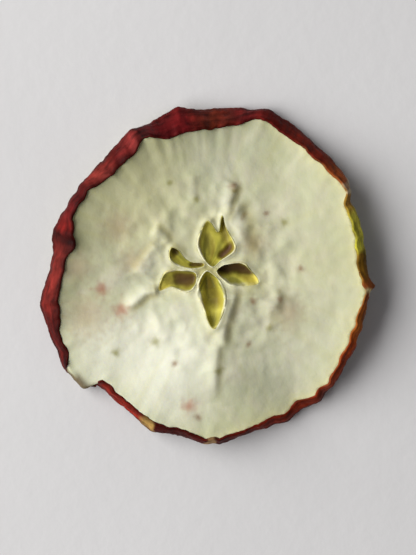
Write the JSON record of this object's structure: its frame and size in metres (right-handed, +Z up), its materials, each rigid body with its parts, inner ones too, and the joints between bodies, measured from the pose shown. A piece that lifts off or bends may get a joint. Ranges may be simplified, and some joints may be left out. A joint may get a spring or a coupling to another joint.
{
  "type": "dried apple slice",
  "caption": "Thin warped round of red apple, cut across its star-shaped core, dried with the wrinkled peel on, lying flat with the cut face up.",
  "frame": {"origin": "bottom centre of the slice's box, on the surface that it lies on", "axes": "+Z up, across the thin of the slice; +X and +Y lie in the slice, with the lower seed cell pointing to -Y"},
  "size_m": [0.0576, 0.0584, 0.0077],
  "materials": {
    "flesh": "matt, papery dried apple flesh, cream to pale olive, with fine radial shrinkage wrinkles and small rusty fibre marks",
    "peel": "leathery, waxy, wrinkled dark red peel, olive and orange along one stretch of the rim",
    "cell_lining": "thin glossy yellow-olive parchment that lines the seed cells, with pale curled lips"
  },
  "bodies": {
    "root": {"dried_apple_slice": "flesh"}
  },
  "joints": []
}
